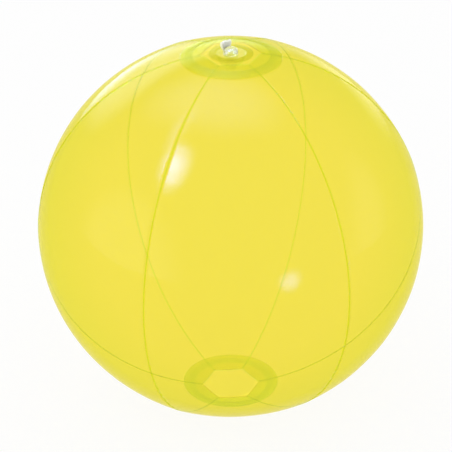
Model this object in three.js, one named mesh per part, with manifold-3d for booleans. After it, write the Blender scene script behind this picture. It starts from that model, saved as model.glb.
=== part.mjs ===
// Inflatable beach ball: six welded film panels, two pole discs and a push-in inflation valve with a tethered stopper.
// Millimetres, +Z up. The origin is the middle of the flat patch that the ball rests on, and -Y is the middle of panel_1.
import * as THREE from 'three';
import { mergeVertices } from 'three/addons/utils/BufferGeometryUtils.js';
import Module from 'manifold-3d';

const wasm = await Module();
wasm.setup();

// Ball
const BALL_DIAMETER = 280; // across the seams at the equator
const BALL_HEIGHT = 276.8; // pole to pole over the panels, drawn on as if they met there
const FILM_THICKNESS = 0.25;
const PANEL_COUNT = 6;
const FIT_GAP = 0.3; // between one piece and the next that it is welded to or closes on
const REST_PATCH_DIAMETER = 34; // where the weight flattens the bottom disc

// Panels and their seams
const PANEL_FLATNESS = 0.8; // how far a panel's middle lies below the round of its seams at the equator
const SEAM_WIDTH = 1.1; // of the welded bead, outside
const SEAM_ROOT_WIDTH = 0.6; // of the welded bead, inside
const SEAM_DEPTH = 0.9;

// Pole discs
const DISC_DIAMETER = 71.5;
const PANEL_END_DISTANCE = 18.6; // from the axis to the straight end of a panel, under the disc

// Valve, heights measured from the pole of the top disc
const VALVE_HOLE_DIAMETER = 21.5; // in the top disc
const FLANGE_DIAMETER = 31;
const FLANGE_THICKNESS = 0.6;
const STEM_DIAMETER = 7.4;
const STEM_BORE_DIAMETER = 5.8;
const STEM_LIP_DIAMETER = 8.4;
const STEM_LIP_HEIGHT = 1;
const STEM_LENGTH = 10;
const STEM_SINK = 2.3; // from the pole down to the stem's mouth when the valve is pushed in
const MEMBRANE_THICKNESS = 0.6;
const MEMBRANE_DEPTH = 7.6; // from the flange down to where the membrane meets the stem
const MEMBRANE_WALL = 1.5; // from the valve hole in to the membrane's side wall

// Stopper and its tether
const KNOB_DIAMETER = 9.7;
const KNOB_SIDE_HEIGHT = 2;
const KNOB_DOME_HEIGHT = 3.4;
const SHANK_LENGTH = 5.2;
const SHANK_TIP_DIAMETER = 4;
const STRAP_WIDTH = 8.2;
const STRAP_THICKNESS = 0.9;
const STRAP_RISE = 7.4; // from the knob's lower edge to the top of the strap's loop, along the middle of its thickness
const STRAP_LOOP = 1.4; // between the two legs of the loop, along the middle of their thickness
const STRAP_AZIMUTH = 212; // degrees from -Y towards +X
const COLLAR_WALL = 1;
const COLLAR_HEIGHT = 1.8;

// One-way flap
const FLAP_DIAMETER = 6.8;
const FLAP_THICKNESS = 0.5;
const FLAP_TAB_WIDTH = 3;

// Fineness of the meshes
const PANEL_COLUMNS = 6;
const PANEL_ROWS = 20;
const DISC_SEGMENTS = 36;
const VALVE_SEGMENTS = 24;
const STRAP_ROWS = 18;

// Sizes that follow
const EQUATOR_RADIUS = BALL_DIAMETER / 2;
const POLE_RADIUS = BALL_HEIGHT / 2;
const HALF_PANEL = Math.PI / PANEL_COUNT;
const DISC_INSIDE = FIT_GAP;
const DISC_OUTSIDE = FIT_GAP + FILM_THICKNESS;
const POLE = POLE_RADIUS + DISC_OUTSIDE;

// The ball's skin is an ellipsoid, and layers over or under it are set off from it.
function skinHeight(radius, offset) {
  return (POLE_RADIUS + offset) * Math.sqrt(1 - (radius / (EQUATOR_RADIUS + offset)) ** 2);
}

function skinPoint(azimuth, latitude, offset, sideways = 0) {
  const radius = (EQUATOR_RADIUS + offset) * Math.cos(latitude);
  return new THREE.Vector3(
    radius * Math.sin(azimuth) + sideways * Math.cos(azimuth),
    -radius * Math.cos(azimuth) + sideways * Math.sin(azimuth),
    (POLE_RADIUS + offset) * Math.sin(latitude),
  );
}

const CENTRE_HEIGHT = skinHeight(REST_PATCH_DIAMETER / 2, DISC_OUTSIDE);

// Latitude at which a line of constant azimuth, measured from the panel's middle, reaches the panel's straight end.
function endLatitude(azimuth) {
  return Math.acos(PANEL_END_DISTANCE / Math.cos(azimuth) / EQUATOR_RADIUS);
}

// A panel stands at its full radius along both seams and is a little flatter than a ball in between.
function flattening(azimuth, latitude) {
  return PANEL_FLATNESS * Math.cos(latitude) * (1 - (azimuth / HALF_PANEL) ** 2);
}

// A closed sheet between two equal grids of points, with walls along its four edges.
function sheetGeometry(outer, inner) {
  const corners = [];
  const lastRow = outer.length - 1;
  const lastColumn = outer[0].length - 1;
  const quad = (a, b, c, d) => corners.push(a, b, c, a, c, d);
  for (let r = 0; r < lastRow; r++) {
    for (let c = 0; c < lastColumn; c++) {
      quad(outer[r][c], outer[r][c + 1], outer[r + 1][c + 1], outer[r + 1][c]);
      quad(inner[r][c], inner[r + 1][c], inner[r + 1][c + 1], inner[r][c + 1]);
    }
    quad(inner[r][0], outer[r][0], outer[r + 1][0], inner[r + 1][0]);
    quad(outer[r][lastColumn], inner[r][lastColumn], inner[r + 1][lastColumn], outer[r + 1][lastColumn]);
  }
  for (let c = 0; c < lastColumn; c++) {
    quad(inner[0][c], inner[0][c + 1], outer[0][c + 1], outer[0][c]);
    quad(outer[lastRow][c], outer[lastRow][c + 1], inner[lastRow][c + 1], inner[lastRow][c]);
  }
  return new THREE.BufferGeometry().setFromPoints(corners);
}

function grid(rows, columns, pointAt) {
  return Array.from({ length: rows + 1 }, (_, r) =>
    Array.from({ length: columns + 1 }, (_, c) => pointAt((2 * r) / rows - 1, (2 * c) / columns - 1)),
  );
}

// Panel, from one straight end to the other, stopping short of the weld beads on both sides.
function panelGeometry() {
  const layer = (depth) =>
    grid(PANEL_ROWS, PANEL_COLUMNS, (up, across) => {
      const rowLatitude = up * endLatitude(HALF_PANEL);
      const seamAllowance = Math.asin((SEAM_WIDTH / 2 + FIT_GAP) / (EQUATOR_RADIUS * Math.cos(rowLatitude)));
      const azimuth = across * (HALF_PANEL - seamAllowance);
      const latitude = up * endLatitude(azimuth);
      return skinPoint(azimuth, latitude, -flattening(azimuth, latitude) - depth);
    });
  return sheetGeometry(layer(0), layer(FILM_THICKNESS));
}

// Weld bead along one seam, at the panel's right-hand edge.
function seamGeometry() {
  const layer = (depth, width) =>
    grid(PANEL_ROWS, 1, (up, across) => {
      const latitude = up * endLatitude(HALF_PANEL);
      return skinPoint(HALF_PANEL, latitude, -depth, (across * width) / 2);
    });
  return sheetGeometry(layer(0, SEAM_WIDTH), layer(SEAM_DEPTH, SEAM_ROOT_WIDTH));
}

function latheGeometry(profile, segments) {
  const points = profile.map(([radius, height]) => new THREE.Vector2(radius, height));
  return new THREE.LatheGeometry(points, segments).rotateX(Math.PI / 2);
}

// Profile points on the skin at even steps of radius.
function skinProfile(from, to, steps, offset) {
  return Array.from({ length: steps + 1 }, (_, i) => {
    const radius = from + ((to - from) * i) / steps;
    return [radius, skinHeight(radius, offset)];
  });
}

// Top disc, lapping over the panel ends, with the hole for the valve.
function topDiscGeometry() {
  const hole = VALVE_HOLE_DIAMETER / 2;
  const rim = DISC_DIAMETER / 2;
  const outside = skinProfile(rim, hole, 3, DISC_OUTSIDE);
  const inside = skinProfile(hole, rim, 3, DISC_INSIDE);
  return latheGeometry([...outside, ...inside, outside[0]], DISC_SEGMENTS);
}

// Bottom disc, flattened where the ball rests on it.
function bottomDiscGeometry() {
  const patch = REST_PATCH_DIAMETER / 2;
  const rim = DISC_DIAMETER / 2;
  const below = ([radius, height]) => [radius, -height];
  const outside = skinProfile(patch, rim, 3, DISC_OUTSIDE).map(below);
  const inside = skinProfile(rim, patch, 3, DISC_INSIDE).map(below);
  const flatOutside = [0, outside[0][1]];
  const flatInside = [0, inside[inside.length - 1][1]];
  return latheGeometry([flatOutside, ...outside, ...inside, flatInside], DISC_SEGMENTS);
}

// Valve flange, under the top disc around the hole.
const FLANGE_INSIDE = VALVE_HOLE_DIAMETER / 2;

function flangeGeometry() {
  const rim = FLANGE_DIAMETER / 2;
  const top = skinProfile(rim, FLANGE_INSIDE, 1, 0);
  const underside = skinProfile(FLANGE_INSIDE, rim, 1, -FLANGE_THICKNESS);
  return latheGeometry([...top, ...underside, top[0]], DISC_SEGMENTS);
}

// Membrane: a soft cup from the flange down to the stem, which rolls over when the valve is pulled out.
function membraneGeometry() {
  const level = skinHeight(FLANGE_INSIDE, -FLANGE_THICKNESS / 2);
  const outerEdge = FLANGE_INSIDE - FIT_GAP;
  const wall = FLANGE_INSIDE - MEMBRANE_WALL;
  const innerEdge = STEM_DIAMETER / 2 + FIT_GAP;
  const floor = level - MEMBRANE_DEPTH;
  const half = MEMBRANE_THICKNESS / 2;
  const middle = new THREE.SplineCurve([
    new THREE.Vector2(outerEdge, level),
    new THREE.Vector2(wall + MEMBRANE_THICKNESS, level - MEMBRANE_THICKNESS),
    new THREE.Vector2(wall, level - MEMBRANE_DEPTH / 3),
    new THREE.Vector2(wall - MEMBRANE_THICKNESS, level - (2 * MEMBRANE_DEPTH) / 3),
    new THREE.Vector2((wall + innerEdge) / 2, floor + half),
    new THREE.Vector2(innerEdge, floor),
  ]);
  const side = (sign) =>
    Array.from({ length: 8 }, (_, i) => {
      const point = middle.getPoint(i / 7);
      const tangent = middle.getTangent(i / 7);
      const radius = point.x + sign * half * tangent.y;
      return [THREE.MathUtils.clamp(radius, innerEdge, outerEdge), point.y - sign * half * tangent.x];
    });
  const profile = [...side(1), ...side(-1).reverse()];
  return latheGeometry([...profile, profile[0]], VALVE_SEGMENTS);
}

// Stem: the tube that is blown into, with a lip that the stopper closes on.
const STEM_MOUTH = POLE - STEM_SINK;
const STEM_BOTTOM = STEM_MOUTH - STEM_LENGTH;

function stemGeometry() {
  const bore = STEM_BORE_DIAMETER / 2;
  const outside = STEM_DIAMETER / 2;
  const lip = STEM_LIP_DIAMETER / 2;
  const lipUnderside = STEM_MOUTH - STEM_LIP_HEIGHT;
  const profile = [
    [bore, STEM_BOTTOM],
    [outside, STEM_BOTTOM],
    [outside, lipUnderside],
    [lip, lipUnderside],
    [lip, STEM_MOUTH],
    [bore, STEM_MOUTH],
    [bore, STEM_BOTTOM],
  ];
  return latheGeometry(profile, VALVE_SEGMENTS);
}

// Stopper: a tapered shank in the bore under a domed knob.
const KNOB_BASE = STEM_MOUTH + FIT_GAP;

function stopperGeometry() {
  const shank = STEM_BORE_DIAMETER / 2 - FIT_GAP;
  const tip = STEM_MOUTH - SHANK_LENGTH;
  const knob = KNOB_DIAMETER / 2;
  const dome = [0, 18, 36, 54, 72, 90].map((degrees) => {
    const angle = THREE.MathUtils.degToRad(degrees);
    const radius = degrees === 90 ? 0 : knob * Math.cos(angle);
    return [radius, KNOB_BASE + KNOB_SIDE_HEIGHT + KNOB_DOME_HEIGHT * Math.sin(angle)];
  });
  const profile = [
    [0, tip],
    [SHANK_TIP_DIAMETER / 2, tip],
    [shank, KNOB_BASE],
    [knob, KNOB_BASE],
    ...dome,
  ];
  return latheGeometry(profile, VALVE_SEGMENTS);
}

// Tether: a collar round the stem under its lip, and a strap that loops up from it to the side of the knob.
function strapGeometry() {
  const collarTop = STEM_MOUTH - STEM_LIP_HEIGHT - FIT_GAP;
  const collarMiddle = collarTop - COLLAR_HEIGHT / 2;
  const collarInside = STEM_DIAMETER / 2 + FIT_GAP;
  const innerLeg = KNOB_DIAMETER / 2 + FIT_GAP + STRAP_THICKNESS / 2;
  const outerLeg = innerLeg + STRAP_LOOP;
  const bend = STRAP_LOOP / 2;
  const bendHeight = KNOB_BASE + STRAP_RISE - bend;
  const middle = new THREE.Path();
  middle.moveTo(collarInside + COLLAR_WALL / 2, collarMiddle);
  middle.lineTo(outerLeg - bend, collarMiddle);
  middle.quadraticCurveTo(outerLeg, collarMiddle, outerLeg, collarMiddle + bend);
  middle.lineTo(outerLeg, bendHeight);
  middle.absarc(outerLeg - bend, bendHeight, bend, 0, Math.PI, false);
  middle.lineTo(innerLeg, KNOB_BASE);
  const face = (side) =>
    grid(STRAP_ROWS, 1, (along, across) => {
      const t = (along + 1) / 2;
      const point = middle.getPointAt(t);
      const tangent = middle.getTangentAt(t);
      const outward = (side * STRAP_THICKNESS) / 2;
      return new THREE.Vector3(
        (across * STRAP_WIDTH) / 2,
        -point.x - outward * tangent.y,
        point.y - outward * tangent.x,
      );
    });
  const band = sheetGeometry(face(1), face(-1));
  const collar = latheGeometry(
    [
      [collarInside, collarTop - COLLAR_HEIGHT],
      [collarInside + COLLAR_WALL, collarTop - COLLAR_HEIGHT],
      [collarInside + COLLAR_WALL, collarTop],
      [collarInside, collarTop],
      [collarInside, collarTop - COLLAR_HEIGHT],
    ],
    VALVE_SEGMENTS,
  );
  return joined(collar, band).rotateZ(THREE.MathUtils.degToRad(STRAP_AZIMUTH));
}

// Two overlapping closed shapes as one.
function joined(first, second) {
  const solid = (geometry) => {
    geometry.deleteAttribute('normal');
    geometry.deleteAttribute('uv');
    const welded = mergeVertices(geometry, 1e-3);
    const vertProperties = Float32Array.from(welded.getAttribute('position').array);
    const triVerts = Uint32Array.from(welded.getIndex().array);
    return new wasm.Manifold(new wasm.Mesh({ numProp: 3, vertProperties, triVerts }));
  };
  const result = solid(first).add(solid(second)).getMesh();
  const geometry = new THREE.BufferGeometry();
  geometry.setAttribute('position', new THREE.BufferAttribute(result.vertProperties, result.numProp));
  geometry.setIndex(new THREE.BufferAttribute(result.triVerts, 1));
  return geometry;
}

// One-way flap under the stem, with a tab on its +Y side that it bends down from.
function flapGeometry() {
  const radius = FLAP_DIAMETER / 2;
  const tabEnd = STEM_DIAMETER / 2;
  const tabAngle = Math.asin(FLAP_TAB_WIDTH / 2 / radius);
  const outline = new THREE.Shape();
  outline.moveTo(FLAP_TAB_WIDTH / 2, tabEnd);
  outline.lineTo(-FLAP_TAB_WIDTH / 2, tabEnd);
  outline.absarc(0, 0, radius, Math.PI / 2 + tabAngle, Math.PI * 2.5 - tabAngle, false);
  const plate = new THREE.ExtrudeGeometry(outline, { depth: FLAP_THICKNESS, bevelEnabled: false, curveSegments: 10 });
  return plate.translate(0, 0, STEM_BOTTOM - FIT_GAP - FLAP_THICKNESS);
}

const beachBall = new THREE.Group();
beachBall.name = 'beach_ball';

function add(name, geometry, colour, turn = 0) {
  const mesh = new THREE.Mesh(geometry, new THREE.MeshStandardMaterial({ color: colour, roughness: 0.2 }));
  mesh.name = name;
  mesh.position.z = CENTRE_HEIGHT;
  mesh.rotation.z = turn;
  beachBall.add(mesh);
}

const YELLOW_FILM = 0xf0dc3c;
const WELDED_FILM = 0xc8d232;
const CLEAR_PLASTIC = 0xe6ecea;

for (let k = 0; k < PANEL_COUNT; k++) {
  add(`panel_${k + 1}`, panelGeometry(), YELLOW_FILM, 2 * HALF_PANEL * k);
  add(`seam_weld_${k + 1}`, seamGeometry(), WELDED_FILM, 2 * HALF_PANEL * k);
}
add('top_disc', topDiscGeometry(), YELLOW_FILM);
add('bottom_disc', bottomDiscGeometry(), YELLOW_FILM);
add('valve_flange', flangeGeometry(), CLEAR_PLASTIC);
add('valve_membrane', membraneGeometry(), CLEAR_PLASTIC);
add('valve_stem', stemGeometry(), CLEAR_PLASTIC);
add('stopper', stopperGeometry(), CLEAR_PLASTIC);
add('tether_strap', strapGeometry(), CLEAR_PLASTIC);
add('check_flap', flapGeometry(), CLEAR_PLASTIC);

export default beachBall;
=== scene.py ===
import math
import bmesh
import bpy
from mathutils import Matrix, Vector


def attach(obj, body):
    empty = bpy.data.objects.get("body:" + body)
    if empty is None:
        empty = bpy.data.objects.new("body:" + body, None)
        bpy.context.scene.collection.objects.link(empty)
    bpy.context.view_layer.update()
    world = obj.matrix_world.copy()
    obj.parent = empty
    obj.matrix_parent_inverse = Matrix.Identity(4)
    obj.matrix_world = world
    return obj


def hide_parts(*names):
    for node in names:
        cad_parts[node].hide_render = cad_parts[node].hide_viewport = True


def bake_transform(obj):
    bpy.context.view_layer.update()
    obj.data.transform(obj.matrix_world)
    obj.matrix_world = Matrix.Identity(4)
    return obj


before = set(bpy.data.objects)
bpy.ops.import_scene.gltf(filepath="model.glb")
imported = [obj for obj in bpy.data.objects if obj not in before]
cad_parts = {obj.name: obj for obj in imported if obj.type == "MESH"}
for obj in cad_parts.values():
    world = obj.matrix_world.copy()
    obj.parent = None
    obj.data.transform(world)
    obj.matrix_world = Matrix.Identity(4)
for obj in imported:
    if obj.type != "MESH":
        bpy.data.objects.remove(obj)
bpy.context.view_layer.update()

# Film panels: six gores cut from soft clear-yellow vinyl film, straight across at both ends, shiny outside and
# dulled by talc inside. Inflated, each is a little flatter than a ball between its seams, gently wavy, and puckered
# at the welds.
mm = 0.001
equator_radius = 140 * mm
pole_radius = 138.4 * mm
film_thickness = 0.25 * mm
clearance = 0.3 * mm
disc_lift = clearance + film_thickness
rest_patch_radius = 17 * mm
panel_end_distance = 18.6 * mm
half_panel = math.pi / 6
panel_flatness = 0.8 * mm
half_panel_width = 73 * mm
pucker_reach = 9 * mm
pucker_height = 0.10 * mm
wave_height = 0.12 * mm
weld_half_width = 0.35 * mm
panel_under_bead = 0.1 * mm
drawn_latitude = 1.5  # radians, a little past the straight ends


def skin_height(radius, lift):
    return (pole_radius + lift) * math.sqrt(1 - (radius / (equator_radius + lift)) ** 2)


ball_centre = Vector((0, 0, skin_height(rest_patch_radius, disc_lift)))


def on_skin(azimuth, latitude, lift):
    radius = (equator_radius + lift) * math.cos(latitude)
    height = (pole_radius + lift) * math.sin(latitude)
    return ball_centre + Vector((radius * math.sin(azimuth), -radius * math.cos(azimuth), height))


# Fine ripples beside the welds and long waves in between, different on each panel.
def pucker(across, latitude, number):
    from_seam = (1 - abs(across)) * half_panel_width * math.cos(latitude)
    beside_seam = math.exp(-(from_seam / pucker_reach) ** 2)
    phase = 2.1 * number + 4 * across
    ripple = math.sin(latitude * 96 + phase) * (0.6 + 0.4 * math.sin(latitude * 23 + 2 * phase))
    wave = math.sin(9 * latitude + 3.3 * number + 2.2 * across) * math.cos(4.4 * across + 5 * latitude + number)
    return pucker_height * beside_seam * ripple + wave_height * math.cos(latitude) * wave * (1 - across ** 4)


film_slanted = (0.963, 0.988, 0.87)


# Two faces of film together pass the tint clear, times slanted for each face at a glancing angle. The share haze of
# the light, and more at the rim, meets the pigment body with a gloss set by ior and dull. weave is how fine the
# bumps are.
def film_material(name, clear, body, haze, ior, dull, weave, slanted=film_slanted):
    material = bpy.data.materials.new(name)
    material.use_nodes = True
    nodes, links = material.node_tree.nodes, material.node_tree.links
    vinyl = nodes["Principled BSDF"]
    vinyl.inputs["IOR"].default_value = ior
    place = nodes.new("ShaderNodeTexCoord")
    cloud = nodes.new("ShaderNodeTexNoise")
    cloud.inputs["Scale"].default_value = 18
    cloud.inputs["Detail"].default_value = 3
    links.new(place.outputs["Object"], cloud.inputs["Vector"])
    pigment = nodes.new("ShaderNodeValToRGB")
    pigment.color_ramp.elements[0].position = 0.3
    pigment.color_ramp.elements[1].position = 0.7
    pigment.color_ramp.elements[0].color = [0.96 * c for c in body] + [1]
    pigment.color_ramp.elements[1].color = [*body, 1]
    links.new(cloud.outputs["Fac"], pigment.inputs["Fac"])
    links.new(pigment.outputs["Color"], vinyl.inputs["Base Color"])
    gloss = nodes.new("ShaderNodeMapRange")
    gloss.inputs["To Min"].default_value = 0.7 * dull
    gloss.inputs["To Max"].default_value = 1.3 * dull
    links.new(cloud.outputs["Fac"], gloss.inputs["Value"])
    links.new(gloss.outputs["Result"], vinyl.inputs["Roughness"])
    grain = nodes.new("ShaderNodeTexNoise")
    grain.inputs["Scale"].default_value = weave
    grain.inputs["Detail"].default_value = 2
    links.new(place.outputs["Object"], grain.inputs["Vector"])
    bump = nodes.new("ShaderNodeBump")
    bump.inputs["Strength"].default_value = 0.25
    bump.inputs["Distance"].default_value = 0.12 * mm
    links.new(grain.outputs["Fac"], bump.inputs["Height"])
    links.new(bump.outputs["Normal"], vinyl.inputs["Normal"])
    slant = nodes.new("ShaderNodeLayerWeight")
    depth = nodes.new("ShaderNodeValToRGB")
    depth.color_ramp.elements[0].position = 0.3
    depth.color_ramp.elements[1].position = 0.85
    each_face = [math.sqrt(c) for c in clear]
    depth.color_ramp.elements[0].color = [*each_face, 1]
    depth.color_ramp.elements[1].color = [*(c * shade for c, shade in zip(each_face, slanted)), 1]
    links.new(slant.outputs["Facing"], depth.inputs["Fac"])
    through = nodes.new("ShaderNodeBsdfTransparent")
    links.new(depth.outputs["Color"], through.inputs["Color"])
    sheen = nodes.new("ShaderNodeMapRange")
    sheen.inputs["From Min"].default_value = 0.68
    sheen.inputs["To Min"].default_value = haze
    sheen.inputs["To Max"].default_value = haze + 0.3
    links.new(slant.outputs["Facing"], sheen.inputs["Value"])
    film = nodes.new("ShaderNodeMixShader")
    links.new(sheen.outputs["Result"], film.inputs["Fac"])
    links.new(through.outputs["BSDF"], film.inputs[1])
    links.new(vinyl.outputs["BSDF"], film.inputs[2])
    links.new(film.outputs["Shader"], nodes["Material Output"].inputs["Surface"])
    return material


clear_yellow, yellow_body = (0.96, 0.884, 0.27), (0.93, 0.87, 0.04)
yellow_film = film_material("yellow film", clear_yellow, yellow_body, haze=0.12, ior=2.6, dull=0.06, weave=40)

# The film shines on its outer side only.
nodes, links = yellow_film.node_tree.nodes, yellow_film.node_tree.links
side = nodes.new("ShaderNodeNewGeometry")
shine = nodes.new("ShaderNodeMapRange")
shine.inputs["To Min"].default_value = 0.5
shine.inputs["To Max"].default_value = 0.0
links.new(side.outputs["Backfacing"], shine.inputs["Value"])
links.new(shine.outputs["Result"], nodes["Principled BSDF"].inputs["Specular IOR Level"])
talc_film = film_material("yellow film, inside", clear_yellow, yellow_body, haze=0.03, ior=1.3, dull=0.4, weave=40)


def finished(name, shape, material, body, replaced):
    mesh = bpy.data.meshes.new(name)
    shape.to_mesh(mesh)
    shape.free()
    mesh.polygons.foreach_set("use_smooth", [True] * len(mesh.polygons))
    mesh.materials.append(material)
    piece = bpy.data.objects.new(name, mesh)
    bpy.context.scene.collection.objects.link(piece)
    if body:
        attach(piece, body)
    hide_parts(replaced)
    return piece


def walled(piece, thickness, offset=-1):
    wall = piece.modifiers.new("film thickness", "SOLIDIFY")
    wall.thickness = thickness
    wall.offset = offset
    return wall


def z_turn(angle):
    return Matrix.Rotation(angle, 3, "Z")


for number in range(1, 7):
    panel = bmesh.new()
    foot = panel.verts.new(Vector((0, -math.cos(drawn_latitude), -math.sin(drawn_latitude))))
    bmesh.ops.spin(panel, geom=[foot], cent=(0, 0, 0), axis=(-1, 0, 0), angle=2 * drawn_latitude, steps=150,
                   use_duplicate=False)
    bmesh.ops.rotate(panel, verts=panel.verts, cent=(0, 0, 0), matrix=z_turn(-half_panel))
    edge_line = panel.verts[:] + panel.edges[:]
    bmesh.ops.spin(panel, geom=edge_line, cent=(0, 0, 0), axis=(0, 0, 1), angle=2 * half_panel, steps=56)
    for vert in panel.verts:
        latitude = math.asin(max(-1, min(1, vert.co.z)))
        across = math.atan2(vert.co.x, -vert.co.y) / half_panel
        inset = (weld_half_width - panel_under_bead) / (equator_radius * math.cos(latitude))
        azimuth = across * (half_panel - inset)
        flat = panel_flatness * math.cos(latitude) * (1 - across ** 2)
        vert.co = on_skin(azimuth, latitude, pucker(across, latitude, number) - flat)
    everything = panel.verts[:] + panel.edges[:] + panel.faces[:]
    bmesh.ops.bisect_plane(panel, geom=everything, plane_co=(0, -panel_end_distance, 0), plane_no=(0, 1, 0),
                           clear_outer=True)
    bmesh.ops.rotate(panel, verts=panel.verts, cent=(0, 0, 0), matrix=z_turn(2 * half_panel * (number - 1)))
    bmesh.ops.recalc_face_normals(panel, faces=panel.faces)
    outward = sum(f.normal.dot(f.calc_center_median() - ball_centre) for f in panel.faces)
    if outward < 0:
        bmesh.ops.reverse_faces(panel, faces=panel.faces)
    gore = finished(f"film_panel_{number}", panel, yellow_film, "ball", f"panel_{number}")
    gore.data.materials.append(talc_film)
    wall = walled(gore, film_thickness)
    wall.material_offset = wall.material_offset_rim = 1

# Weld beads: along each seam the edges of two panels are fused and cut off in one stroke, which leaves a narrow bead
# of solid vinyl, darker and greener than the film, flush outside and standing a little inwards.
weld_depth = 0.7 * mm
bead_middle = 0.45 * weld_depth
bead_half_depth = 0.55 * weld_depth
bead_swell = 0.25
weld_vinyl = film_material("welded vinyl", (0.83, 0.96, 0.07), (0.82, 0.86, 0.02), haze=0.08, ior=2.2, dull=0.3,
                           weave=400)
bead_end = math.acos(panel_end_distance / math.cos(half_panel) / equator_radius)
for number in range(1, 7):
    bead = bmesh.new()
    bmesh.ops.create_circle(bead, segments=10, radius=1)
    for vert in bead.verts:
        sink = bead_middle - bead_half_depth * vert.co.y
        vert.co = Vector((vert.co.x * weld_half_width, sink - equator_radius, 0))
    bmesh.ops.rotate(bead, verts=bead.verts, cent=(0, 0, 0), matrix=Matrix.Rotation(bead_end, 3, "X"))
    section = bead.verts[:] + bead.edges[:]
    bmesh.ops.spin(bead, geom=section, cent=(0, 0, 0), axis=(-1, 0, 0), angle=2 * bead_end, steps=480)
    bmesh.ops.holes_fill(bead, edges=[e for e in bead.edges if e.is_boundary], sides=0)
    for vert in bead.verts:
        latitude = math.atan2(vert.co.z, -vert.co.y)
        depth = equator_radius - math.hypot(vert.co.y, vert.co.z)
        swell = 1 + bead_swell * math.sin(170 * latitude + 2.3 * number) * math.sin(37 * latitude + number)
        spot = on_skin(0, latitude, -depth)
        vert.co = Vector((vert.co.x * swell, spot.y, spot.z))
    bmesh.ops.rotate(bead, verts=bead.verts, cent=(0, 0, 0), matrix=z_turn(half_panel * (2 * number - 1)))
    bmesh.ops.recalc_face_normals(bead, faces=bead.faces)
    finished(f"weld_bead_{number}", bead, weld_vinyl, "ball", f"seam_weld_{number}")

# Pole discs: round film patches that close the two ends, lapped over the panel ends and welded to them with a ribbed
# electrode, which presses fine rings into the rim. The bottom one is pressed flat where the ball rests. The rims of
# the two are one film, tinted apart as painted light and shade: the top rim is painted less green, as shade against
# the light from above, and the bottom rim is painted darker at a slant, as shade against the reflection on its front.
disc_radius = 35.75 * mm
valve_hole_radius = 10.75 * mm
electrode_inside = 27.2 * mm
rib_pitch = 1.7 * mm
rib_count = 3
rib_half_depth = 0.11 * mm
cut_tolerance = 0.03 * mm
spin_merge = 0.0001 * mm
merge_distance = 0.005 * mm
disc_film = film_material("disc film", (0.98, 0.895, 0.30), yellow_body, haze=0.08, ior=2.4, dull=0.06, weave=40)


def rib(radius):
    turns = (radius - electrode_inside) / rib_pitch
    if not 0 < turns < rib_count:
        return 0
    return rib_half_depth * (1 - math.cos(2 * math.pi * turns))


def skin_line(shape, start, stop, steps, lift, side):
    line = []
    for i in range(steps + 1):
        radius = start + (stop - start) * i / steps
        height = skin_height(max(radius, rest_patch_radius if side < 0 else 0), lift)
        line.append(shape.verts.new((0, -radius, ball_centre.z + side * (height - rib(radius)))))
    for a, b in zip(line, line[1:]):
        shape.edges.new((a, b))


def spun(shape, steps):
    profile = shape.verts[:] + shape.edges[:]
    bmesh.ops.spin(shape, geom=profile, cent=(0, 0, 0), axis=(0, 0, 1), angle=2 * math.pi, steps=steps,
                   use_merge=True)
    bmesh.ops.remove_doubles(shape, verts=shape.verts, dist=spin_merge)
    bmesh.ops.recalc_face_normals(shape, faces=shape.faces)
    return shape


def facing(shape, direction):
    if sum(f.normal.dot(direction) * f.calc_area() for f in shape.faces) < 0:
        bmesh.ops.reverse_faces(shape, faces=shape.faces)
    return shape


def lapped(shape):
    ends = [z_turn(2 * half_panel * k) @ Vector((0, -1, 0)) for k in range(6)]
    for end in ends:
        everything = shape.verts[:] + shape.edges[:] + shape.faces[:]
        bmesh.ops.bisect_plane(shape, geom=everything, dist=cut_tolerance, plane_co=end * panel_end_distance,
                               plane_no=end)
    bmesh.ops.remove_doubles(shape, verts=shape.verts, dist=merge_distance)
    for face in shape.faces:
        middle = face.calc_center_median()
        radius = middle.xy.length
        if max(middle.dot(end) for end in ends) < panel_end_distance:
            face.material_index = 0
        elif radius < electrode_inside:
            face.material_index = 1
        else:
            face.material_index = 3 if rib(radius) > rib_half_depth else 2
    return shape


def dressed(disc, name, slanted, lapped_clear, pressed_clear, groove_clear):
    films = [("lapped", lapped_clear, (0.80, 0.78, 0.05), 0.08),
             ("pressed", pressed_clear, (0.76, 0.73, 0.05), 0.10),
             ("groove", groove_clear, (0.60, 0.62, 0.03), 0.10)]
    for kind, clear, body, dull in films:
        film = film_material(f"{name}, {kind}", clear, body, haze=0.08, ior=2.6, dull=dull, weave=60, slanted=slanted)
        disc.data.materials.append(film)


lower = bmesh.new()
skin_line(lower, 0, disc_radius, steps=90, lift=disc_lift, side=-1)
lower = lapped(facing(spun(lower, steps=144), Vector((0, 0, -1))))
bottom = finished("bottom_disc_film", lower, disc_film, "ball", "bottom_disc")
walled(bottom, film_thickness)
# The bottom rim darkens more at a slant than the top one: painted shade against the reflection on its front.
dressed(bottom, "bottom disc", slanted=(0.90, 0.975, 0.84), lapped_clear=(0.92, 0.985, 0.37),
        pressed_clear=(0.87, 0.98, 0.35), groove_clear=(0.77, 0.93, 0.25))

upper = bmesh.new()
skin_line(upper, valve_hole_radius, disc_radius, steps=70, lift=disc_lift, side=1)
upper = lapped(facing(spun(upper, steps=144), Vector((0, 0, 1))))
top = finished("top_disc_film", upper, disc_film, "ball", "top_disc")
walled(top, film_thickness)
# The top rim is painted less green than the bottom one: painted shade against the light that falls on it from above.
dressed(top, "top disc", slanted=film_slanted, lapped_clear=(0.93, 0.955, 0.38),
        pressed_clear=(0.885, 0.935, 0.35), groove_clear=(0.79, 0.89, 0.25))

# Valve flange: a flat ring of clear soft vinyl, welded to the underside of the top disc round its hole. The rest of
# the valve is moulded in one with it.
pole = ball_centre.z + pole_radius + disc_lift
flange_radius = 15.5 * mm
flange_thickness = 0.6 * mm
sharp_angle = math.radians(40)


def outline(shape, points):
    corners = [shape.verts.new((0, -radius, height)) for radius, height in points]
    for a, b in zip(corners, corners[1:]):
        shape.edges.new((a, b))


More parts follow.
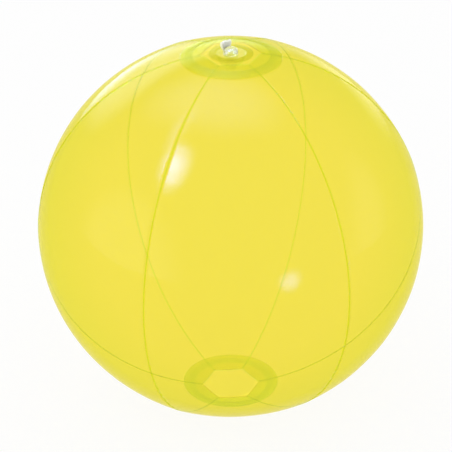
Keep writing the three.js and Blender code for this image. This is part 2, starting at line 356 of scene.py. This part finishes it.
def rounded(shape, width):
    sharp = [e for e in shape.edges if e.is_manifold and e.calc_face_angle(0) > sharp_angle]
    bmesh.ops.bevel(shape, geom=sharp, offset=width, offset_type="OFFSET", affect="EDGES", segments=3, profile=0.5,
                    material=-1, clamp_overlap=True)
    bmesh.ops.remove_doubles(shape, verts=shape.verts, dist=merge_distance)
    bmesh.ops.recalc_face_normals(shape, faces=shape.faces)
    return shape


flange_vinyl = film_material("flange vinyl", (0.83, 0.87, 0.33), (0.70, 0.70, 0.08), haze=0.07, ior=2.2, dull=0.10,
                             weave=300)
flange = bmesh.new()
rim = [(valve_hole_radius, skin_height(valve_hole_radius, 0)), (flange_radius, skin_height(flange_radius, 0)),
       (flange_radius, skin_height(flange_radius, -flange_thickness)),
       (valve_hole_radius, skin_height(valve_hole_radius, -flange_thickness))]
outline(flange, [(radius, ball_centre.z + height) for radius, height in rim + rim[:1]])
flange = rounded(spun(flange, steps=96), width=0.15 * mm)
finished("valve_flange_ring", flange, flange_vinyl, "ball", "valve_flange")

# Valve membrane: the thin soft cup between flange and stem, moulded in clear vinyl. On the real valve it hangs
# inwards while the valve is pushed in and rolls over, like a sleeve turned inside out, when the stem is pulled up;
# here it is built hanging inwards and stays fixed.
stem_radius = 3.7 * mm
membrane_level = ball_centre.z + skin_height(valve_hole_radius, -flange_thickness / 2)
membrane_thickness = 0.6 * mm
clear_vinyl = film_material("clear vinyl", (0.985, 0.99, 0.86), (0.92, 0.93, 0.60), haze=0.07, ior=2.2, dull=0.10,
                            weave=300)
cup = bmesh.new()
cup_line = [(10.9, 0), (10.3, -0.1), (9.85, -0.45), (9.55, -1.1), (9.3, -2.2), (9.1, -3.6), (8.75, -5.0),
            (8.1, -6.2), (7.1, -7.0), (5.9, -7.4), (4.7, -7.58), (3.75, -7.6)]
outline(cup, [(radius * mm, membrane_level + height * mm) for radius, height in cup_line])
cup = facing(spun(cup, steps=72), Vector((0, 0, 1)))
upright = [e for e in cup.edges if abs(e.verts[0].co.z - e.verts[1].co.z) > 0.05 * mm]
bmesh.ops.subdivide_edges(cup, edges=upright, cuts=2, smooth=1.0)
membrane = finished("valve_membrane_cup", cup, clear_vinyl, None, "valve_membrane")
walled(membrane, membrane_thickness, offset=0)
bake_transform(membrane)

# Valve stem: the moulded clear vinyl tube that is blown into, with a thicker lip round its mouth for the stopper to
# close on. The membrane joins it below its middle.
stem_sink = 2.3 * mm
stem_length = 10 * mm
stem_mouth = pole - stem_sink
stem_bottom = stem_mouth - stem_length
bore_radius = 2.9 * mm
lip_radius = 4.2 * mm
lip_height = 1 * mm
tube = bmesh.new()
outline(tube, [(bore_radius, stem_bottom), (stem_radius, stem_bottom), (stem_radius, stem_mouth - lip_height),
               (lip_radius, stem_mouth - lip_height), (lip_radius, stem_mouth), (bore_radius, stem_mouth),
               (bore_radius, stem_bottom)])
tube = rounded(spun(tube, steps=64), width=0.25 * mm)
finished("valve_stem_tube", tube, clear_vinyl, "valve_stem", "valve_stem")

# One-way flap: a small round leaf of clear vinyl under the stem's inner end, bent down by the air that is blown in.
# A short tab at its back edge holds it and is the bend that it swings on.
flap_radius = 3.4 * mm
flap_thickness = 0.5 * mm
flap_top = stem_bottom - clearance
tab_start = 3.05 * mm
leaf = bmesh.new()
bmesh.ops.create_circle(leaf, segments=48, radius=flap_radius, cap_ends=True)
bmesh.ops.translate(leaf, verts=leaf.verts, vec=(0, 0, flap_top))
tab_edges = [e for e in leaf.edges if all(v.co.y > tab_start for v in e.verts)]
tab = bmesh.ops.extrude_edge_only(leaf, edges=tab_edges)
for vert in [v for v in tab["geom"] if isinstance(v, bmesh.types.BMVert)]:
    vert.co.y = stem_radius
leaf_face = bmesh.ops.extrude_face_region(leaf, geom=leaf.faces[:])
bmesh.ops.translate(leaf, verts=[v for v in leaf_face["geom"] if isinstance(v, bmesh.types.BMVert)],
                    vec=(0, 0, -flap_thickness))
bmesh.ops.recalc_face_normals(leaf, faces=leaf.faces)
leaf = rounded(leaf, width=0.12 * mm)
finished("one_way_flap", leaf, clear_vinyl, "check_flap", "check_flap")

# Stopper: a tapered shank pushed into the stem, under a domed knob for finger and thumb, moulded in one from slightly
# milky soft vinyl. It closes on the stem's lip.
knob_base = stem_mouth + clearance
knob_radius = 4.85 * mm
knob_side = 2 * mm
knob_dome = 3.4 * mm
dome_steps = 12
knob_foot_radius = 4.45 * mm
knob_foot_height = 0.4 * mm
shank_end = stem_mouth - 5.2 * mm
shank_shoulder = stem_mouth - 4.7 * mm
shank_radii = 1.6 * mm, 2 * mm, 2.6 * mm
plug_rounding = 0.2 * mm


def moulded_vinyl(name, thick, thin, milk):
    material = bpy.data.materials.new(name)
    material.use_nodes = True
    nodes, links = material.node_tree.nodes, material.node_tree.links
    vinyl = nodes["Principled BSDF"]
    vinyl.inputs["IOR"].default_value = 1.5
    vinyl.inputs["Transmission Weight"].default_value = 1.0
    place = nodes.new("ShaderNodeTexCoord")
    cloud = nodes.new("ShaderNodeTexNoise")
    cloud.inputs["Scale"].default_value = 260
    links.new(place.outputs["Object"], cloud.inputs["Vector"])
    gloss = nodes.new("ShaderNodeMapRange")
    gloss.inputs["To Min"].default_value = 0.1
    gloss.inputs["To Max"].default_value = 0.4
    links.new(cloud.outputs["Fac"], gloss.inputs["Value"])
    links.new(gloss.outputs["Result"], vinyl.inputs["Roughness"])
    pigment = nodes.new("ShaderNodeValToRGB")
    pigment.color_ramp.elements[0].position = 0.35
    pigment.color_ramp.elements[1].position = 0.65
    pigment.color_ramp.elements[0].color = (*thick, 1)
    pigment.color_ramp.elements[1].color = (*thin, 1)
    links.new(cloud.outputs["Fac"], pigment.inputs["Fac"])
    links.new(pigment.outputs["Color"], vinyl.inputs["Base Color"])
    bump = nodes.new("ShaderNodeBump")
    bump.inputs["Strength"].default_value = 0.5
    bump.inputs["Distance"].default_value = 0.3 * mm
    links.new(cloud.outputs["Fac"], bump.inputs["Height"])
    links.new(bump.outputs["Normal"], vinyl.inputs["Normal"])
    side = nodes.new("ShaderNodeNewGeometry")
    outside = nodes.new("ShaderNodeMapRange")
    outside.inputs["To Min"].default_value = milk
    outside.inputs["To Max"].default_value = 0.0
    links.new(side.outputs["Backfacing"], outside.inputs["Value"])
    chalk = nodes.new("ShaderNodeBsdfDiffuse")
    links.new(pigment.outputs["Color"], chalk.inputs["Color"])
    milky = nodes.new("ShaderNodeMixShader")
    links.new(outside.outputs["Result"], milky.inputs["Fac"])
    links.new(vinyl.outputs["BSDF"], milky.inputs[1])
    links.new(chalk.outputs["BSDF"], milky.inputs[2])
    links.new(milky.outputs["Shader"], nodes["Material Output"].inputs["Surface"])
    return material


knob_vinyl = moulded_vinyl("knob vinyl", thick=(0.93, 0.985, 0.76), thin=(0.97, 0.995, 0.88), milk=0.1)
plug = bmesh.new()
dome = []
for step in range(dome_steps):
    angle = step * math.pi / (2 * dome_steps)
    dome.append((knob_radius * math.cos(angle), knob_base + knob_side + knob_dome * math.sin(angle)))
outline(plug, [(0, shank_end), (shank_radii[0], shank_end), (shank_radii[1], shank_shoulder),
               (shank_radii[2], knob_base), (knob_foot_radius, knob_base),
               (knob_radius, knob_base + knob_foot_height), *dome, (0, knob_base + knob_side + knob_dome)])
plug = rounded(spun(plug, steps=64), width=plug_rounding)
for face in plug.faces:
    face.material_index = 1 if face.calc_center_median().z < knob_base - plug_rounding else 0
stopper = finished("stopper_plug", plug, knob_vinyl, "stopper", "stopper")
stopper.data.materials.append(clear_vinyl)

# Tether: a collar round the stem under the lip, with a flat soft strap that widens from its foot and loops up and
# over to the side of the knob, so that the stopper can't be lost. The milky vinyl is creased in the loop, which on
# the real ball unrolls when the stopper is pulled; here the loop is built creased and stays fixed.
strap_half_width = 4.1 * mm
strap_thickness = 0.9 * mm
strap_turn = math.radians(212)
inner_leg = knob_radius + clearance + strap_thickness / 2
strap_loop = 1.4 * mm
outer_leg = inner_leg + strap_loop
bend = strap_loop / 2
collar_radius = 5 * mm
collar_top = stem_mouth - lip_height - clearance
collar_height = 1.8 * mm
collar_middle = collar_top - collar_height / 2
foot_in_collar = 0.3 * mm
strap_height = 7.4 * mm
strap_top = knob_base + strap_height - bend
strap_neck = 0.42
strap_merge = 0.001 * mm
free_height = 4 * mm
fold_depth = 0.22 * mm
dip_depth = 0.35 * mm
strap_vinyl = moulded_vinyl("strap vinyl", thick=(0.96, 0.985, 0.90), thin=(0.99, 0.995, 0.97), milk=0.8)

collar = bmesh.new()
collar_inside = stem_radius + 0.05 * mm
collar_bottom = collar_top - collar_height
outline(collar, [(collar_inside, collar_bottom), (collar_radius, collar_bottom), (collar_radius, collar_top),
                 (collar_inside, collar_top), (collar_inside, collar_bottom)])
collar = rounded(spun(collar, steps=64), width=0.25 * mm)
finished("tether_collar", collar, clear_vinyl, "valve_stem", "tether_strap")


def strap_start(distance, height):
    strap = bmesh.new()
    steps = 8
    row = [strap.verts.new(((2 * k / steps - 1) * strap_half_width, -distance, height)) for k in range(steps + 1)]
    return strap, [strap.edges.new(pair) for pair in zip(row, row[1:])]


def drawn(strap, edges, length, direction, steps):
    for _ in range(steps):
        made = bmesh.ops.extrude_edge_only(strap, edges=edges)["geom"]
        bmesh.ops.translate(strap, verts=[v for v in made if isinstance(v, bmesh.types.BMVert)],
                            vec=direction * (length / steps))
        edges = [e for e in made if isinstance(e, bmesh.types.BMEdge)]
    return edges


def bent(strap, edges, centre, angle, steps):
    ends = list(dict.fromkeys(v for e in edges for v in e.verts))
    made = bmesh.ops.spin(strap, geom=ends + edges, cent=centre, axis=(1, 0, 0), angle=angle, steps=steps)
    return [e for e in made["geom_last"] if isinstance(e, bmesh.types.BMEdge)]


def strap_piece(name, strap, body):
    bmesh.ops.remove_doubles(strap, verts=strap.verts, dist=strap_merge)
    for vert in strap.verts:
        rise = min(1, max(0, (vert.co.z - knob_base) / (strap_top - knob_base)))
        vert.co.x *= strap_neck + (1 - strap_neck) * math.sin(rise * math.pi / 2)
    bmesh.ops.rotate(strap, verts=strap.verts, cent=(0, 0, 0), matrix=z_turn(strap_turn))
    bmesh.ops.recalc_face_normals(strap, faces=strap.faces)
    piece = finished(name, strap, strap_vinyl, body, "tether_strap")
    walled(piece, strap_thickness, offset=0)
    soft_edge = piece.modifiers.new("rounded edges", "BEVEL")
    soft_edge.width = 0.22 * mm
    soft_edge.segments = 3
    return piece


up = Vector((0, 0, 1))
foot, front = strap_start(collar_radius - foot_in_collar, collar_middle)
front = drawn(foot, front, outer_leg - bend - collar_radius + foot_in_collar, Vector((0, -1, 0)), steps=3)
front = bent(foot, front, (0, -outer_leg + bend, collar_middle + bend), -math.pi / 2, steps=6)
drawn(foot, front, knob_base - collar_middle - bend, up, steps=3)
strap_piece("tether_strap_foot", foot, "valve_stem")

loop, front = strap_start(outer_leg, knob_base)
front = drawn(loop, front, strap_top - knob_base, up, steps=6)
front = bent(loop, front, (0, -outer_leg + bend, strap_top), -math.pi, steps=14)
drawn(loop, front, strap_top - knob_base, -up, steps=7)
for vert in loop.verts:
    free = min(1, max(0, (vert.co.z - knob_base) / free_height))
    fold = math.sin(1500 * vert.co.x + 900 * vert.co.z)
    dip = math.sin(1150 * vert.co.x + 1.1)
    vert.co += Vector((0, fold_depth * fold, dip_depth * dip)) * free
strap_loop_piece = strap_piece("tether_strap_loop", loop, None)
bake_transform(strap_loop_piece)

# Floor: a wide sheet of white paper under the ball, bright to the camera and to what the film shows and mirrors, with
# the ball's soft shadow left on it.
floor_gap = 0.05 * mm


def seen_share(nodes, links, camera_share):
    ray = nodes.new("ShaderNodeLightPath")
    direct = nodes.new("ShaderNodeMath")
    direct.operation = "MULTIPLY"
    direct.inputs[1].default_value = camera_share
    links.new(ray.outputs["Is Camera Ray"], direct.inputs[0])
    share = direct.outputs[0]
    for kind in ("Is Transmission Ray", "Is Glossy Ray"):
        either = nodes.new("ShaderNodeMath")
        either.operation = "MAXIMUM"
        links.new(share, either.inputs[0])
        links.new(ray.outputs[kind], either.inputs[1])
        share = either.outputs[0]
    return share


paper = bpy.data.materials.new("white paper")
paper.use_nodes = True
nodes, links = paper.node_tree.nodes, paper.node_tree.links
sheet = nodes["Principled BSDF"]
sheet.inputs["Base Color"].default_value = (0.9, 0.9, 0.9, 1)
sheet.inputs["Roughness"].default_value = 0.9
sheet.inputs["Specular IOR Level"].default_value = 0.0
glow = nodes.new("ShaderNodeEmission")
glow.inputs["Strength"].default_value = 1.0
both = nodes.new("ShaderNodeMixShader")
links.new(seen_share(nodes, links, camera_share=0.9), both.inputs["Fac"])
links.new(sheet.outputs["BSDF"], both.inputs[1])
links.new(glow.outputs["Emission"], both.inputs[2])
links.new(both.outputs["Shader"], nodes["Material Output"].inputs["Surface"])
ground = bmesh.new()
bmesh.ops.create_grid(ground, x_segments=1, y_segments=1, size=6)
bmesh.ops.translate(ground, verts=ground.verts, vec=(0, 0, -floor_gap))
floor_mesh = bpy.data.meshes.new("floor")
ground.to_mesh(floor_mesh)
ground.free()
floor_mesh.materials.append(paper)
floor = bpy.data.objects.new("floor", floor_mesh)
bpy.context.scene.collection.objects.link(floor)

# Camera: a long lens about 1.4 m away and 29 degrees above the ball, a little to the left of the front panel's
# middle, aimed a few millimetres off the ball's centre.
camera_turn, camera_rise = math.radians(-5), math.radians(29)
camera_distance = 1.42
aim_left, aim_up = 3.6 * mm, 0.15 * mm
to_camera = Vector((math.sin(camera_turn) * math.cos(camera_rise), -math.cos(camera_turn) * math.cos(camera_rise),
                    math.sin(camera_rise)))
to_right = Vector((math.cos(camera_turn), math.sin(camera_turn), 0))
to_top = to_camera.cross(to_right)
lens_data = bpy.data.cameras.new("camera")
lens_data.sensor_width = 36
lens_data.lens = 155.1
camera = bpy.data.objects.new("camera", lens_data)
bpy.context.scene.collection.objects.link(camera)
camera.location = ball_centre - to_right * aim_left + to_top * aim_up + to_camera * camera_distance
camera.rotation_euler = Matrix((to_right, to_top, to_camera)).transposed().to_euler()
bpy.context.scene.camera = camera

# Light: a tall soft box high on the left in front of the ball, white panels on both sides and a white room all round.
# A brighter lamp in the box, its upper end, a low lamp at the right front and tinted panels above and behind are only
# mirrored, so that they don't light what is white.
key_way = to_right * -0.489 + to_top * 0.533 + to_camera * 0.690
top_way = to_right * -0.430 + to_top * 0.790 + to_camera * 0.440
low_way = to_right * 0.496 + to_top * -0.462 + to_camera * 0.738
pale_sky, skylight, cold_light = (0.65, 0.75, 1.0), (0.37, 0.55, 1.0), (0.20, 0.31, 1.0)


# A lamp stands off the ball's middle in the direction way. It is even to the share plain of its width and then fades.
def soft_light(name, way, distance, width, tall, radiance, plain=0.0, tint=(1, 1, 1)):
    lamp = bpy.data.lights.new(name, "AREA")
    lamp.shape = "RECTANGLE"
    lamp.color = tint
    lamp.size, lamp.size_y = width, tall
    lamp.energy = radiance * math.pi * width * tall
    lamp.use_nodes = True
    nodes, links = lamp.node_tree.nodes, lamp.node_tree.links
    spot = nodes.new("ShaderNodeNewGeometry")
    offset = nodes.new("ShaderNodeVectorMath")
    offset.operation = "SUBTRACT"
    offset.inputs[1].default_value = (0.5, 0.5, 0)
    links.new(spot.outputs["Parametric"], offset.inputs[0])
    reach = nodes.new("ShaderNodeVectorMath")
    reach.operation = "LENGTH"
    links.new(offset.outputs["Vector"], reach.inputs[0])
    fade = nodes.new("ShaderNodeMapRange")
    fade.interpolation_type = "SMOOTHSTEP"
    fade.inputs["From Min"].default_value = plain
    fade.inputs["From Max"].default_value = 0.5
    fade.inputs["To Min"].default_value = 1
    fade.inputs["To Max"].default_value = 0
    links.new(reach.outputs["Value"], fade.inputs["Value"])
    links.new(fade.outputs["Result"], nodes["Emission"].inputs["Strength"])
    stand = bpy.data.objects.new(name, lamp)
    bpy.context.scene.collection.objects.link(stand)
    way = way.normalized()
    across = to_top.cross(way).normalized()
    stand.location = ball_centre + way * distance
    stand.rotation_euler = Matrix((across, way.cross(across), way)).transposed().to_euler()
    stand.visible_camera = False
    return stand


soft_light("soft box", key_way, distance=1.2, width=0.60, tall=0.80, radiance=1.8)
soft_light("left panel", Vector((-0.9, -0.42, -0.05)), distance=1.5, width=2.4, tall=2.6, radiance=0.8, plain=0.25)
soft_light("right panel", Vector((0.96, -0.1, 0.1)), distance=1.5, width=1.0, tall=2.0, radiance=0.8, plain=0.1)
only_mirrored = [
    soft_light("lamp in the soft box", key_way, distance=1.21, width=0.56, tall=0.74, radiance=26, tint=cold_light),
    soft_light("soft box, upper end", top_way, distance=1.2, width=0.34, tall=0.95, radiance=6, tint=cold_light),
    soft_light("low lamp", low_way, distance=0.83, width=0.22, tall=0.22, radiance=12, tint=cold_light),
    soft_light("ceiling panel", Vector((-0.11, 0.30, 0.95)), distance=1.6, width=2.5, tall=1.6, radiance=2.9,
               plain=0.1, tint=skylight),
    soft_light("back panel", Vector((-0.25, 0.91, 0.32)), distance=1.8, width=2.5, tall=1.4, radiance=3.9,
               plain=0.2, tint=pale_sky),
    soft_light("low back panel", Vector((0.50, 0.86, 0.04)), distance=1.8, width=1.5, tall=0.80, radiance=2.8),
    soft_light("low back panel, left", Vector((-0.28, 0.96, 0.0)), distance=1.8, width=1.2, tall=0.60, radiance=8,
               tint=skylight),
]
for lamp in only_mirrored:
    lamp.visible_diffuse = False

room = bpy.data.worlds.new("room")
room.use_nodes = True
bpy.context.scene.world = room
nodes, links = room.node_tree.nodes, room.node_tree.links
pale = nodes["Background"]
pale.inputs["Color"].default_value = (1, 1, 1, 1)
level = nodes.new("ShaderNodeMapRange")
level.inputs["To Min"].default_value = 0.95
level.inputs["To Max"].default_value = 1.0
links.new(seen_share(nodes, links, camera_share=1.0), level.inputs["Value"])
links.new(level.outputs["Result"], pale.inputs["Strength"])

# Light paths: a ray has to pass many layers of film, and the film throws no bright sparkles on the floor. Colours are
# shown as they are.
scene = bpy.context.scene
scene.cycles.max_bounces = 32
scene.cycles.transmission_bounces = 32
scene.cycles.glossy_bounces = 12
scene.cycles.transparent_max_bounces = 32
scene.cycles.caustics_refractive = False
scene.cycles.caustics_reflective = False
scene.view_settings.view_transform = "Standard"
